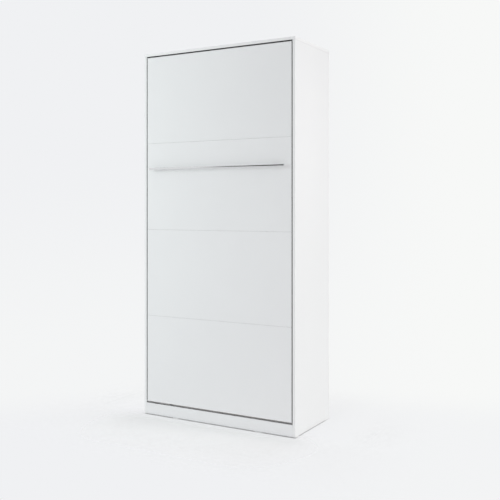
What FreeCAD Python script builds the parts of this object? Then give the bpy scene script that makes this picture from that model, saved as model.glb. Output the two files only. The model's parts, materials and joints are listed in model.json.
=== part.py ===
import FreeCAD, Part
import math
import os

from FreeCAD import Vector

os.makedirs("parts", exist_ok=True)

# A single wall bed, closed: a shallow white cabinet whose whole front is the underside of the bed.
# The bed folds down about two pins low in the cabinet, two gas struts carry its weight, and a
# foot bow of two flat steel arms and a bar swings over the foot end to become its legs.
# X runs across the cabinet, +Y runs back to the wall, +Z up, millimetres.
# The origin is on the floor under the middle of the closed bed, its handle included.
# Depths are measured back from the front plane of the cabinet and named "back".

# The mattress that the bed takes, which sets the width and the height of the whole
mattress_width = 900.0
mattress_length = 2000.0
mattress_side_play = 2.0
mattress_end_play = 3.0

# Cabinet
cabinet_depth = 450.0
board = 16.0
board_arris = 0.5
glide_height = 3.0
plinth_top = 70.0
upper_rail_height = 120.0
middle_rail_height = 100.0
lower_rail_height = 100.0
middle_rail_share = 0.52
lower_rail_rise = 20.0

# Door front, four panels high
door_side_gap = 5.5
door_top_gap = 8.0
door_foot_gap = 11.0
door_below_bed = 14.0
door_above_bed = 23.0
panel_seam = 0.5
panel_count = 4

# Handle bar
handle_radius = 6.0
handle_end_inset = 33.5
handle_drop = 673.0
handle_finger_gap = 20.0
handle_arris = 0.8
post_radius = 5.0
post_inset = 64.0
post_seat = 0.05

# Bed frame
frame_depth = 150.0
bearer_height = 60.0
bearer_depth = 44.0
slat_rail_width = 25.0
slat_rail_depth = 30.0

# Slats and their holders
slat_count = 14
slat_width = 53.0
slat_thickness = 8.0
slat_crown = 10.0
slat_end_play = 15.0
holder_length = 40.0
holder_wall = 3.0
holder_play = 0.4
holder_inset = 2.0
slat_end_rise = 1.4

# Main pivot
pivot_back = 100.0
pivot_rise = 224.0
pin_radius = 8.0
pin_collar_radius = 13.0
pin_collar_thickness = 3.0
pin_end_play = 2.0
running_play = 0.06
seat_play = 0.1
face_gap = 0.3
plate_thickness = 3.0
plate_corner = 8.0
bearing_plate_size = 120.0
boss_radius = 17.0
bush_radius = 11.0

# Plate that carries the bed's pin and the strut's lower end
bed_plate_width = 136.0
bed_plate_inset = 8.0
bed_plate_above = 64.0

# Gas struts, their places counted from the main pivot
strut_anchor_back = 150.0
strut_anchor_rise = 380.0
strut_foot_back = 20.0
strut_foot_rise = 34.0
strut_radius = 9.0
strut_plate_gap = 1.0
strut_wall = 1.5
strut_tube_length = 300.0
strut_rod_radius = 4.0
strut_rod_inside = 60.0
strut_eye_radius = 10.0
strut_eye_width = 10.0
strut_stud_radius = 5.0
strut_stud_head_radius = 7.5
strut_stud_head_thickness = 1.8
anchor_plate_width = 60.0
anchor_plate_height = 84.0

# Foot bow
bow_arm_width = 24.0
bow_arm_thickness = 5.0
bow_arm_inner_bend = 8.0
bow_bar_radius = 11.0
bow_bar_wall = 1.5
bow_pivot_back = 34.0
bow_pivot_drop = 233.0
bow_reach = 280.0
bow_fold_angle = 110.0
bow_foot_radius = 14.0
bow_foot_length = 60.0
bow_foot_inset = 90.0
bow_floor_gap = 0.3
bow_bolt_radius = 5.0
bow_bolt_head_radius = 9.0
bow_bolt_head_thickness = 3.0
bow_spacer_radius = 8.0

# Door stops
stop_drop = 564.0
stop_length = 40.0
stop_depth = 30.0
stop_width = 14.0
stop_pad_thickness = 3.0
stop_pad_width = 10.0

# Wall brackets
bracket_width = 60.0
bracket_leaf = 100.0
bracket_shelf = 45.0
bracket_spacing = 600.0
wall_hole_radius = 4.0
wall_hole_rise = 40.0

# Fixings
screw_sides = 6
screw_shank_radius = 2.0
screw_head_radius = 4.2
screw_head_height = 2.4
screw_depth = 14.0
screw_inset = 12.0
frame_screw_radius = 2.5
frame_screw_head_radius = 4.5
frame_screw_head_height = 3.0
frame_screw_length = 50.0
frame_screw_shares = (0.25, 0.75)
glide_length = 40.0
glide_inset = 10.0
glide_width = 13.0
plinth_glide_spacing = 560.0

# Cutting tools run past the faces that they cut
overrun = 2.0

# What follows from the sizes above
bed_inner_half = mattress_width / 2 + mattress_side_play
bed_outer_half = bed_inner_half + board
side_gap = 2 * (plate_thickness + strut_plate_gap + strut_radius)
side_gap_middle = bed_outer_half + side_gap / 2
inner_half = bed_outer_half + side_gap
half_width = inner_half + board
plate_face = bed_outer_half + plate_thickness
bearing_face = inner_half - plate_thickness
bed_inner_length = mattress_length + 2 * mattress_end_play
door_foot = plinth_top + door_foot_gap
bed_foot = door_foot + door_below_bed
bed_top = bed_foot + bed_inner_length + 2 * board
door_top = bed_top + door_above_bed
side_top = door_top + door_top_gap
cabinet_height = side_top + board
handle_reach = handle_finger_gap + 2 * handle_radius
front_y = (handle_reach - cabinet_depth) / 2
door_half = inner_half - door_side_gap
panel_height = (door_top - door_foot - (panel_count - 1) * panel_seam) / panel_count
handle_back = -handle_finger_gap - handle_radius
handle_half = door_half - handle_end_inset
handle_height = door_top - handle_drop
frame_back = board + frame_depth
rail_front = board + bearer_depth
rail_back = rail_front + slat_rail_depth
pivot_height = bed_foot + pivot_rise
foot_back = pivot_back + strut_foot_back
foot_height = bed_foot + strut_foot_rise
anchor_back = pivot_back + strut_anchor_back
anchor_height = pivot_height + strut_anchor_rise
bow_pivot_height = bed_top - bow_pivot_drop
stop_height = side_top - stop_drop


def place(x, back, z):
    """A point given by its place across, its depth behind the front plane and its height."""
    return Vector(x, front_y + back, z)


def block(x_range, back_range, z_range):
    """A block between two places across, two depths and two heights."""
    low = place(x_range[0], back_range[0], z_range[0])
    high = place(x_range[1], back_range[1], z_range[1])
    size = high - low
    return Part.makeBox(size.x, size.y, size.z, low)


def about(middle, size):
    """The two ends of a length that is centred on a place."""
    return (middle - size / 2, middle + size / 2)


def eased(solid, amount=board_arris):
    """A board with its sharp edges taken off."""
    return solid.makeChamfer(amount, solid.Edges)


def rod_across(x_range, back, z, radius):
    """A round bar that runs across, along X."""
    start = place(min(x_range), back, z)
    return Part.makeCylinder(radius, abs(x_range[1] - x_range[0]), start, Vector(1, 0, 0))


def rod_deep(x, back_range, z, radius):
    """A round bar that runs from front to back."""
    start = place(x, min(back_range), z)
    return Part.makeCylinder(radius, abs(back_range[1] - back_range[0]), start, Vector(0, 1, 0))


def turned(profile, base, direction):
    """A turned piece: (radius, distance along its axis) points, closed and spun about the axis."""
    points = [Vector(radius, 0, along) for radius, along in profile]
    points.append(points[0])
    face = Part.Face(Part.makePolygon(points))
    solid = face.revolve(Vector(0, 0, 0), Vector(0, 0, 1), 360)
    turn = FreeCAD.Rotation(Vector(0, 0, 1), direction)
    solid.Placement = FreeCAD.Placement(base, turn)
    return solid


def joined(solids):
    """Several touching solids as one."""
    whole = solids[0].multiFuse(solids[1:])
    return whole.removeSplitter()


def without(solid, tools):
    """A solid with several tools cut out of it."""
    return solid.cut(Part.makeCompound(tools)) if tools else solid


def cornered_plate(x_range, back_range, z_range):
    """A flat steel plate on a side face, with its four corners clipped."""
    plate = block(x_range, back_range, z_range)
    corners = [e for e in plate.Edges if abs(e.tangentAt(e.FirstParameter).x) > math.cos(math.pi / 4)]
    return plate.makeChamfer(plate_corner, corners)


def save(node, shape):
    """Writes one node to its file."""
    shape.exportStep("parts/" + node + ".step")
    return shape


# Screws and their holes
def spike(stations, base, direction):
    """A many-sided point of flat faces, between stations given as (radius, distance inwards)."""
    rings = [[Vector(radius * math.cos(turn), radius * math.sin(turn), along) for turn in screw_turns]
             for radius, along in stations]
    faces = [flat_face(rings[0]), flat_face(rings[-1])]
    for near, far in zip(rings, rings[1:]):
        for side in range(screw_sides):
            faces.append(flat_face([near[side - 1], near[side], far[side], far[side - 1]]))
    solid = Part.Solid(Part.Shell(faces))
    if solid.Volume < 0:
        solid.reverse()
    solid.Placement = FreeCAD.Placement(base, FreeCAD.Rotation(Vector(0, 0, 1), direction))
    return solid


def flat_face(corners):
    """A flat face through its corners."""
    return Part.Face(Part.makePolygon(corners + corners[:1]))


def screw(base, direction, size):
    """A countersunk screw: its flat head lies in the surface and its shank runs inwards."""
    head, height, shank, depth = size
    return spike([(head, 0), (shank, height), (shank, depth)], base, direction)


def screw_hole(base, direction, size):
    """The countersunk hole that such a screw lies in, a little wider all round."""
    head, height, shank, depth = size
    stations = [(head + seat_play, -overrun), (head + seat_play, 0), (shank + seat_play, height),
                (shank + seat_play, depth + seat_play)]
    return spike(stations, base, direction)


plate_screw = (screw_head_radius, screw_head_height, screw_shank_radius, screw_depth)
frame_screw = (frame_screw_head_radius, frame_screw_head_height, frame_screw_radius, frame_screw_length)
screw_turns = [2 * math.pi * side / screw_sides for side in range(screw_sides)]


def plate_corners(back_range, z_range, inset=screw_inset):
    """The places of the four screws in a plate's corners, as (depth, height)."""
    backs = (back_range[0] + inset, back_range[1] - inset)
    heights = (z_range[0] + inset, z_range[1] - inset)
    return [(back, z) for back in backs for z in heights]


# Where the plates on the sides lie
bearing_backs = about(pivot_back, bearing_plate_size)
bearing_heights = about(pivot_height, bearing_plate_size)
anchor_backs = about(anchor_back, anchor_plate_width)
anchor_heights = about(anchor_height, anchor_plate_height)
bed_plate_backs = about(board + frame_depth / 2, bed_plate_width)
bed_plate_heights = (bed_foot + bed_plate_inset, pivot_height + bed_plate_above)
stop_backs = (board + face_gap + stop_pad_thickness, board + face_gap + stop_pad_thickness + stop_depth)
stop_heights = about(stop_height, stop_length)


def plate_screw_holes(places):
    """The holes of the short screws at these places."""
    return [screw_hole(base, direction, plate_screw) for base, direction in places]


def outward(side):
    """The direction from the middle of the bed to one side, -1 left or 1 right."""
    return Vector(side, 0, 0)


def side_screw_places(side):
    """The screws that hold the bearing plate to one side of the cabinet: point and direction."""
    corners = plate_corners(bearing_backs, bearing_heights)
    return [(place(side * bearing_face, back, z), outward(side)) for back, z in corners]


def bed_plate_screw_places(side):
    """The screws that hold the bed's plate to its side board."""
    corners = plate_corners(bed_plate_backs, bed_plate_heights)
    return [(place(side * plate_face, back, z), outward(-side)) for back, z in corners]


def seam_height(number):
    """The height of the middle of a seam between two door panels, counted from the foot."""
    return door_foot + number * (panel_height + panel_seam) - panel_seam / 2


def frame_screw_places(side):
    """The long screws through a side board into the head and foot boards."""
    backs = [board + frame_depth * share for share in frame_screw_shares]
    ends = [(back, z) for back in backs for z in (bed_foot + board / 2, bed_top - board / 2)]
    return [(place(side * bed_outer_half, back, z), outward(-side)) for back, z in ends]


# Cabinet boards
def rail_heights():
    """The lowest and highest edges of the three back rails."""
    middle = cabinet_height * middle_rail_share
    lower = plinth_top + lower_rail_rise
    return {"upper_back_rail": (side_top - upper_rail_height, side_top),
            "middle_back_rail": about(middle, middle_rail_height),
            "lower_back_rail": (lower, lower + lower_rail_height)}


def side_panel(side):
    """One side of the cabinet, with the pilot holes of its fittings."""
    xs = sorted((side * inner_half, side * half_width))
    panel = eased(block(xs, (0, cabinet_depth), (glide_height, side_top)))
    return without(panel, plate_screw_holes(side_screw_places(side)))


def top_panel():
    """The top board, which lies over both sides."""
    panel = eased(block((-half_width, half_width), (0, cabinet_depth), (side_top, cabinet_height)))
    return without(panel, plate_screw_holes(bracket_screw_places()))


def plinth_board():
    """The plinth between the sides, under the door."""
    return eased(block((-inner_half, inner_half), (0, board), (glide_height, plinth_top)))


def back_rail(name):
    """One rail across the back of the cabinet. The upper one has the holes for the wall screws."""
    backs = (cabinet_depth - board, cabinet_depth)
    rail = eased(block((-inner_half, inner_half), backs, rail_heights()[name]))
    return without(rail, wall_holes() if name == "upper_back_rail" else [])


# Wall brackets
def wall_holes():
    """The round holes for the wall screws, through the brackets and the upper rail."""
    backs = (cabinet_depth - board - plate_thickness - overrun, cabinet_depth + overrun)
    middle = side_top - bracket_leaf + wall_hole_rise
    return [rod_deep(x, backs, middle, wall_hole_radius) for x in about(0, bracket_spacing)]


def bracket_screw_places():
    """The screw in each bracket's shelf, up into the top board."""
    back = cabinet_depth - board - bracket_shelf / 2
    return [(place(x, back, side_top - plate_thickness), Vector(0, 0, 1)) for x in about(0, bracket_spacing)]


def wall_brackets():
    """Two steel angles: one leaf on the upper rail, the other under the top board."""
    solids = []
    back = cabinet_depth - board
    for middle in about(0, bracket_spacing):
        xs = about(middle, bracket_width)
        leaf = block(xs, (back - plate_thickness, back), (side_top - bracket_leaf, side_top))
        shelf = block(xs, (back - bracket_shelf, back), (side_top - plate_thickness, side_top))
        angle = joined([leaf, shelf])
        solids.append(without(angle, wall_holes() + plate_screw_holes(bracket_screw_places())))
    return Part.makeCompound(solids)


# Main pivot
def bearing_plate(side):
    """The steel plate on one side of the cabinet, with the boss that holds the bush."""
    xs = sorted((side * bearing_face, side * inner_half))
    plate = cornered_plate(xs, bearing_backs, bearing_heights)
    boss_end = plate_face + pin_collar_thickness + face_gap
    boss = rod_across((side * boss_end, side * inner_half), pivot_back, pivot_height, boss_radius)
    bore_end = inner_half + overrun
    bore = rod_across((side * (boss_end - overrun), side * bore_end), pivot_back, pivot_height,
                      bush_radius + seat_play)
    holes = plate_screw_holes(side_screw_places(side))
    return without(joined([plate, boss]), [bore] + holes)


def pivot_bushes():
    """The plastic bushes that the bed's pins turn in."""
    solids = []
    start = plate_face + pin_collar_thickness + face_gap
    length = inner_half - start
    inner = pin_radius + running_play
    profile = [(inner, 0), (bush_radius, 0), (bush_radius, length), (inner, length)]
    for side in (-1, 1):
        base = place(side * start, pivot_back, pivot_height)
        solids.append(turned(profile, base, outward(side)))
    return Part.makeCompound(solids)


def pivot_pins():
    """The two pins, each with a broad collar welded to the bed's plate."""
    solids = []
    end = inner_half - plate_face - pin_end_play
    profile = [(0, 0), (pin_collar_radius, 0), (pin_collar_radius, pin_collar_thickness),
               (pin_radius, pin_collar_thickness), (pin_radius, end), (0, end)]
    for side in (-1, 1):
        base = place(side * plate_face, pivot_back, pivot_height)
        solids.append(turned(profile, base, outward(side)))
    return Part.makeCompound(solids)


def bed_plate(side):
    """The steel plate on a side board of the bed, which carries the pin and guides the strut's foot."""
    xs = sorted((side * bed_outer_half, side * plate_face))
    plate = cornered_plate(xs, bed_plate_backs, bed_plate_heights)
    return without(plate, plate_screw_holes(bed_plate_screw_places(side)))


# Door front
def door_panel(number):
    """One of the four panels of the front, counted from the foot."""
    low = door_foot + (number - 1) * (panel_height + panel_seam)
    return eased(block((-door_half, door_half), (0, board), (low, low + panel_height)))


def post_places():
    """The places of the handle's two posts across the door."""
    return (post_inset - handle_half, handle_half - post_inset)


def handle_bar():
    """The long round bar."""
    bar = rod_across((-handle_half, handle_half), handle_back, handle_height, handle_radius)
    rims = [e for e in bar.Edges if isinstance(e.Curve, Part.Circle)]
    return bar.makeChamfer(handle_arris, rims)


def handle_posts():
    """The two posts, each hollowed at its end to seat the bar."""
    solids = []
    seat = rod_across((-handle_half, handle_half), handle_back, handle_height, handle_radius + post_seat)
    for x in post_places():
        solids.append(rod_deep(x, (handle_back, 0), handle_height, post_radius).cut(seat))
    return Part.makeCompound(solids)


# Bed frame
def bed_side(side):
    """One long board of the bed frame, with the holes for its screws."""
    xs = sorted((side * bed_inner_half, side * bed_outer_half))
    panel = eased(block(xs, (board, frame_back), (bed_foot, bed_top)))
    tools = plate_screw_holes(bed_plate_screw_places(side))
    tools += [screw_hole(base, direction, frame_screw) for base, direction in frame_screw_places(side)]
    return without(panel, tools)


def end_board(low):
    """The head or foot board between the bed's sides."""
    backs = (board, frame_back)
    panel = eased(block((-bed_inner_half, bed_inner_half), backs, (low, low + board)))
    return without(panel, frame_screw_holes())


def frame_screw_holes():
    """The holes of all the long frame screws."""
    holes = []
    for side in (-1, 1):
        for base, direction in frame_screw_places(side):
            holes.append(screw_hole(base, direction, frame_screw))
    return holes


def cross_bearer(number):
    """A bearer behind a seam, which carries the edges of the two panels that meet there."""
    backs = (board, board + bearer_depth)
    heights = about(seam_height(number), bearer_height)
    return eased(block((-bed_inner_half, bed_inner_half), backs, heights))


def slat_rail(side):
    """The ledge along a side board that carries the slat holders."""
    xs = sorted((side * (bed_inner_half - slat_rail_width), side * bed_inner_half))
    return eased(block(xs, (rail_front, rail_back), (bed_foot + board, bed_top - board)))


# Slats
slat_half_length = bed_inner_half - slat_end_play
slat_back = rail_back + holder_wall + holder_play
slat_pitch = bed_inner_length / slat_count


def slat_height(number):
    """The height of the middle of a slat, counted from the foot."""
    return bed_foot + board + slat_pitch * (number - 1 / 2)


def slat(number):
    """One sprung slat, bowed towards the mattress between two arcs."""
    low = slat_height(number) - slat_width / 2
    corners = []
    for back in (slat_back, slat_back + slat_thickness):
        start = place(-slat_half_length, back, low)
        middle = place(0, back + slat_crown, low)
        end = place(slat_half_length, back, low)
        corners.append((start, middle, end))
    lower, upper = corners
    edges = [Part.Arc(*lower).toShape(), Part.makeLine(lower[2], upper[2]),
             Part.Arc(*reversed(upper)).toShape(), Part.makeLine(upper[0], lower[0])]
    return Part.Face(Part.Wire(edges)).extrude(Vector(0, 0, slat_width))


def slat_holders():
    """The plastic shoes that hold both ends of every slat, one solid each."""
    solids = []
    outer_end = bed_inner_half - holder_inset
    backs = (rail_back, slat_back + slat_thickness + slat_end_rise + holder_play + holder_wall)
    for number in range(1, slat_count + 1):
        middle = slat_height(number)
        heights = about(middle, slat_width + 2 * (holder_play + holder_wall))
        pocket_heights = about(middle, slat_width + 2 * holder_play)
        pocket_backs = (backs[0] + holder_wall, backs[1] - holder_wall)
        for side in (-1, 1):
            xs = sorted((side * (outer_end - holder_length), side * outer_end))
            pocket_ends = (outer_end - holder_length - overrun, slat_half_length + holder_play)
            pocket_xs = sorted((side * pocket_ends[0], side * pocket_ends[1]))
            pocket = block(pocket_xs, pocket_backs, pocket_heights)
            solids.append(block(xs, backs, heights).cut(pocket))
    return Part.makeCompound(solids)


# Gas struts
strut_foot_drop = pivot_height - foot_height
strut_closed = math.hypot(anchor_back - foot_back, anchor_height - foot_height)
strut_open = math.hypot(strut_anchor_back - strut_foot_drop, strut_anchor_rise - strut_foot_back)
strut_tilt = -math.degrees(math.asin((anchor_back - foot_back) / strut_closed))
strut_open_tilt = math.degrees(math.asin((strut_foot_drop - strut_anchor_back) / strut_open))
strut_stroke = strut_closed - strut_open


def strut_set(solid, side):
    """Turns a strut piece, made hanging straight down from the origin, into its closed place."""
    solid.rotate(Vector(0, 0, 0), Vector(1, 0, 0), strut_tilt)
    solid.translate(place(side * side_gap_middle, anchor_back, anchor_height))
    return solid


def strut_tube(side):
    """The black pressure tube: an eye and the closed tube that the rod slides in."""
    start = strut_eye_radius - overrun
    bore = strut_rod_radius + running_play
    bore_end = strut_eye_radius + 2 * strut_wall
    profile = [(0, -start), (strut_radius, -start), (strut_radius, -strut_tube_length),
               (bore, -strut_tube_length), (bore, -bore_end), (0, -bore_end)]
    tube = turned(profile, Vector(0, 0, 0), Vector(0, 0, 1))
    hole = Part.makeCylinder(strut_stud_radius + running_play, strut_eye_width + 2 * overrun,
                             Vector(-strut_eye_width / 2 - overrun, 0, 0), Vector(1, 0, 0))
    eye = Part.makeCylinder(strut_eye_radius, strut_eye_width, Vector(-strut_eye_width / 2, 0, 0),
                            Vector(1, 0, 0))
    return strut_set(joined([eye, tube]).cut(hole), side)


def strut_rod(side):
    """The polished rod, and at its foot the round socket over the stud on the bed's plate."""
    start = strut_tube_length - strut_rod_inside
    end = strut_closed
    rod = Part.makeCylinder(strut_rod_radius, end - start, Vector(0, 0, -start), Vector(0, 0, -1))
    foot_end = side_gap_middle - plate_face - face_gap
    xs = sorted((side * strut_eye_width / 2, -side * foot_end))
    foot = Part.makeCylinder(strut_eye_radius, xs[1] - xs[0], Vector(xs[0], 0, -end), Vector(1, 0, 0))
    return strut_set(joined([rod, foot]), side)


def strut_anchor(side):
    """The plate on the side of the cabinet with the headed stud that the strut hangs from."""
    xs = sorted((side * bearing_face, side * inner_half))
    plate = cornered_plate(xs, anchor_backs, anchor_heights)
    head_top = side_gap_middle - strut_eye_width / 2 - face_gap
    head_end = head_top - strut_stud_head_thickness
    stud = rod_across((side * head_end, side * inner_half), anchor_back, anchor_height, strut_stud_radius)
    head = rod_across((side * head_end, side * head_top), anchor_back, anchor_height,
                      strut_stud_head_radius)
    return joined([plate, stud, head])


# Foot bow
bow_bar_back = pivot_back - pivot_height + bow_foot_radius + bow_floor_gap
bow_corner_height = bow_pivot_height + bow_reach
bow_arm_faces = about(side_gap_middle, bow_arm_thickness)


def bow_stowed(solid):
    """Turns a bow piece back about its bolts, behind the foot of the mattress."""
    solid.rotate(place(0, bow_pivot_back, bow_pivot_height), Vector(1, 0, 0), -bow_fold_angle)
    return solid


def bow_arm(side):
    """One flat arm: a steel strip cut to an L, round at both ends and at its outer corner."""
    half = bow_arm_width / 2
    outer_bend = bow_arm_inner_bend + bow_arm_width
    slant = math.sqrt(2) / 2
    x = side * bow_arm_faces[0]
    far = bow_pivot_back + half
    near = bow_pivot_back - half
    top = bow_corner_height + half
    under = bow_corner_height - half
    bend = (bow_pivot_back + half - outer_bend, bow_corner_height + half - outer_bend)
    inner_middle = (bend[0] + bow_arm_inner_bend * slant, bend[1] + bow_arm_inner_bend * slant)
    outer_middle = (bend[0] + outer_bend * slant, bend[1] + outer_bend * slant)
    points = {"foot_far": (far, bow_pivot_height), "foot_end": (bow_pivot_back, bow_pivot_height - half),
              "foot_near": (near, bow_pivot_height), "inner_start": (near, bend[1]),
              "inner_middle": inner_middle, "inner_end": (bend[0], under),
              "bar_under": (bow_bar_back, under), "bar_end": (bow_bar_back - half, bow_corner_height),
              "bar_top": (bow_bar_back, top), "outer_start": (bend[0], top),
              "outer_middle": outer_middle, "outer_end": (far, bend[1])}
    at = {name: place(x, back, z) for name, (back, z) in points.items()}
    edges = [Part.Arc(at["foot_far"], at["foot_end"], at["foot_near"]).toShape(),
             Part.makeLine(at["foot_near"], at["inner_start"]),
             Part.Arc(at["inner_start"], at["inner_middle"], at["inner_end"]).toShape(),
             Part.makeLine(at["inner_end"], at["bar_under"]),
             Part.Arc(at["bar_under"], at["bar_end"], at["bar_top"]).toShape(),
             Part.makeLine(at["bar_top"], at["outer_start"]),
             Part.Arc(at["outer_start"], at["outer_middle"], at["outer_end"]).toShape(),
             Part.makeLine(at["outer_end"], at["foot_far"])]
    arm = Part.Face(Part.Wire(edges)).extrude(Vector(side * bow_arm_thickness, 0, 0))
    reach = (side * (bow_arm_faces[0] - overrun), side * (bow_arm_faces[1] + overrun))
    hole = rod_across(reach, bow_pivot_back, bow_pivot_height, bow_bolt_radius + running_play)
    return bow_stowed(arm.cut(hole))


def bow_bar():
    """The round tube between the arms, which stands on the floor when the bed is down."""
    xs = about(0, 2 * bow_arm_faces[0])
    tube = rod_across(xs, bow_bar_back, bow_corner_height, bow_bar_radius)
    bore = rod_across(xs, bow_bar_back, bow_corner_height, bow_bar_radius - bow_bar_wall)
    return bow_stowed(tube.cut(bore))


def bow_feet():
    """The two rubber sleeves on the bow's bar that meet the floor."""
    solids = []
    for middle in about(0, 2 * (side_gap_middle - bow_foot_inset)):
        xs = about(middle, bow_foot_length)
        sleeve = rod_across(xs, bow_bar_back, bow_corner_height, bow_foot_radius)
        bore = rod_across(xs, bow_bar_back, bow_corner_height, bow_bar_radius + seat_play)
        solids.append(bow_stowed(sleeve.cut(bore)))
    return Part.makeCompound(solids)


def bow_pivots():
    """The shoulder bolts that the bow turns on, each with a spacer against its side board."""
    solids = []
    arm_near = bow_arm_faces[0] - bed_outer_half - face_gap
    arm_far = bow_arm_faces[1] - bed_outer_half + face_gap
    end = arm_far + bow_bolt_head_thickness
    profile = [(0, 0), (bow_spacer_radius, 0), (bow_spacer_radius, arm_near), (bow_bolt_radius, arm_near),
               (bow_bolt_radius, arm_far), (bow_bolt_head_radius, arm_far), (bow_bolt_head_radius, end),
               (0, end)]
    for side in (-1, 1):
        base = place(side * bed_outer_half, bow_pivot_back, bow_pivot_height)
        solids.append(turned(profile, base, outward(side)))
    return Part.makeCompound(solids)


# Door stops, glides and fixings
def door_stops():
    """The two blocks that the closed door's edges come to rest against."""
    solids = []
    for side in (-1, 1):
        xs = sorted((side * (inner_half - stop_width), side * inner_half))
        solids.append(eased(block(xs, stop_backs, stop_heights)))
    return Part.makeCompound(solids)


def stop_pads():
    """The rubber pads on the stops' front faces."""
    solids = []
    backs = (stop_backs[0] - stop_pad_thickness, stop_backs[0])
    for side in (-1, 1):
        end = side * (inner_half - (stop_width - stop_pad_width) / 2)
        xs = sorted((end, end - side * stop_pad_width))
        solids.append(block(xs, backs, about(stop_height, stop_length - 2 * stop_pad_thickness)))
    return Part.makeCompound(solids)


def glide(middle_x, middle_back, length_x, length_back):
    """One flat plastic glide."""
    return block(about(middle_x, length_x), about(middle_back, length_back), (0, glide_height))


def glides():
    """The glides that the cabinet stands on: two under each side and two under the plinth."""
    solids = []
    for side in (-1, 1):
        middle = side * (half_width - board / 2)
        for back in (glide_inset + glide_length / 2, cabinet_depth - glide_inset - glide_length / 2):
            solids.append(glide(middle, back, glide_width, glide_length))
        solids.append(glide(side * plinth_glide_spacing / 2, board / 2, glide_length, glide_width))
    return Part.makeCompound(solids)


def cabinet_screws():
    """The countersunk screws of the bearing plates and the wall brackets."""
    places = side_screw_places(-1) + side_screw_places(1) + bracket_screw_places()
    return Part.makeCompound([screw(base, direction, plate_screw) for base, direction in places])


def bed_screws():
    """The short screws of the bed's plates and the long screws of its frame."""
    solids = []
    for side in (-1, 1):
        solids += [screw(base, direction, plate_screw) for base, direction in bed_plate_screw_places(side)]
        solids += [screw(base, direction, frame_screw) for base, direction in frame_screw_places(side)]
    return Part.makeCompound(solids)


# Every node and the function that makes it
sides = {"left": -1, "right": 1}

for name, side in sides.items():
    save(name + "_side_panel", side_panel(side))
    save("bearing_plate_" + name, bearing_plate(side))
    save("strut_anchor_" + name, strut_anchor(side))
    save("bed_side_" + name, bed_side(side))
    save("bed_plate_" + name, bed_plate(side))
    save("slat_rail_" + name, slat_rail(side))
    save("strut_tube_" + name, strut_tube(side))
    save("strut_rod_" + name, strut_rod(side))
    save("bow_arm_" + name, bow_arm(side))

for name in rail_heights():
    save(name, back_rail(name))

for number in range(1, panel_count + 1):
    save("door_panel_%d" % number, door_panel(number))

for number in range(1, panel_count):
    save("cross_bearer_%d" % number, cross_bearer(number))

for number in range(1, slat_count + 1):
    save("slat_%02d" % number, slat(number))

save("top_panel", top_panel())
save("plinth_board", plinth_board())
save("wall_brackets", wall_brackets())
save("pivot_bushes", pivot_bushes())
save("pivot_pins", pivot_pins())
save("handle_bar", handle_bar())
save("handle_posts", handle_posts())
save("head_board", end_board(bed_foot))
save("foot_board", end_board(bed_top - board))
save("slat_holders", slat_holders())
save("bow_bar", bow_bar())
save("bow_feet", bow_feet())
save("bow_pivots", bow_pivots())
save("door_stops", door_stops())
save("stop_pads", stop_pads())
save("glides", glides())
save("cabinet_screws", cabinet_screws())
save("bed_screws", bed_screws())

print("front plane at Y", front_y)
print("main pivot", place(0, pivot_back, pivot_height))
print("bow pivot", place(0, bow_pivot_back, bow_pivot_height))
print("strut anchor", place(side_gap_middle, anchor_back, anchor_height))
print("strut lengths, closed and open", strut_closed, strut_open, "stroke", strut_stroke)
print("strut tilt, closed and open", strut_tilt, strut_open_tilt)
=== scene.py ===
# %% [markdown]
# # A wall bed in Blender
# This lesson dresses a closed single wall bed for its picture. The construction comes from a packed
# frame: every board, plate, pin and slat is already there at its real size, and each one rides on the
# body that it moves with. Blender adds what the eye wants: the skin of the boards, the shine of the
# handle, the grain of the slats, the rounded shapes of the fittings, and a quiet studio round it all.
# Every length is in metres, X runs across the front, Y runs back to the wall and Z runs up.

# %% Load the frame
import json
import math

import bmesh
import bpy
import numpy as np
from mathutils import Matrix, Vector


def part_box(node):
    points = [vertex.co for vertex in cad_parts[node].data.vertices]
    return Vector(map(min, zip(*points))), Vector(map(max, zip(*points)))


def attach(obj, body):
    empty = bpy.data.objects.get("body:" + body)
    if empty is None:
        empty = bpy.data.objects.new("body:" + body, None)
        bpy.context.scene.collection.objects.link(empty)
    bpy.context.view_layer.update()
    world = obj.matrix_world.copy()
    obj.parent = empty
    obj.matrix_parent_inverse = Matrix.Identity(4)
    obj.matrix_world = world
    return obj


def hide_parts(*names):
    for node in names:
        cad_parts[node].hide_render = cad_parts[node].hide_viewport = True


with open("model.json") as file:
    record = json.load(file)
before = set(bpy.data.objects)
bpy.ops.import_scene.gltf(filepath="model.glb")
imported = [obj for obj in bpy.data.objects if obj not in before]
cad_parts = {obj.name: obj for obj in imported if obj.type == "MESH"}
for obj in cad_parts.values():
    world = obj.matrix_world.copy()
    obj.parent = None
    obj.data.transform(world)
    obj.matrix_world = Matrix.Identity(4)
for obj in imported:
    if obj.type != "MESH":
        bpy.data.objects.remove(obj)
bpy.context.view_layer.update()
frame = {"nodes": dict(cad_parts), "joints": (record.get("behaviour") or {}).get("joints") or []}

# %% [markdown]
# ## The camera
# The camera comes first, because everything after it is judged through it. The edges of the cabinet
# give its place: upright edges that stay upright mean a level camera with its frame shifted down, and
# the two vanishing points of the front and the side give the turn and the lens.

# %% Place the camera
camera_place = (2.368, -3.941, 1.250)
camera_turn = math.radians(29.83)
camera_lens = 55.31
camera_shift_down = 0.0845

camera_data = bpy.data.cameras.new("studio camera")
camera_data.lens = camera_lens
camera_data.shift_y = -camera_shift_down
camera_data.clip_end = 200
camera = bpy.data.objects.new("studio camera", camera_data)
camera.location = camera_place
camera.rotation_euler = (math.radians(90), 0, camera_turn)
bpy.context.scene.collection.objects.link(camera)
bpy.context.scene.camera = camera
bpy.context.scene.view_settings.view_transform = "Standard"
print("camera stands", round(math.dist(camera_place, (0, 0, camera_place[2])), 2), "m from the bed")

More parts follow.
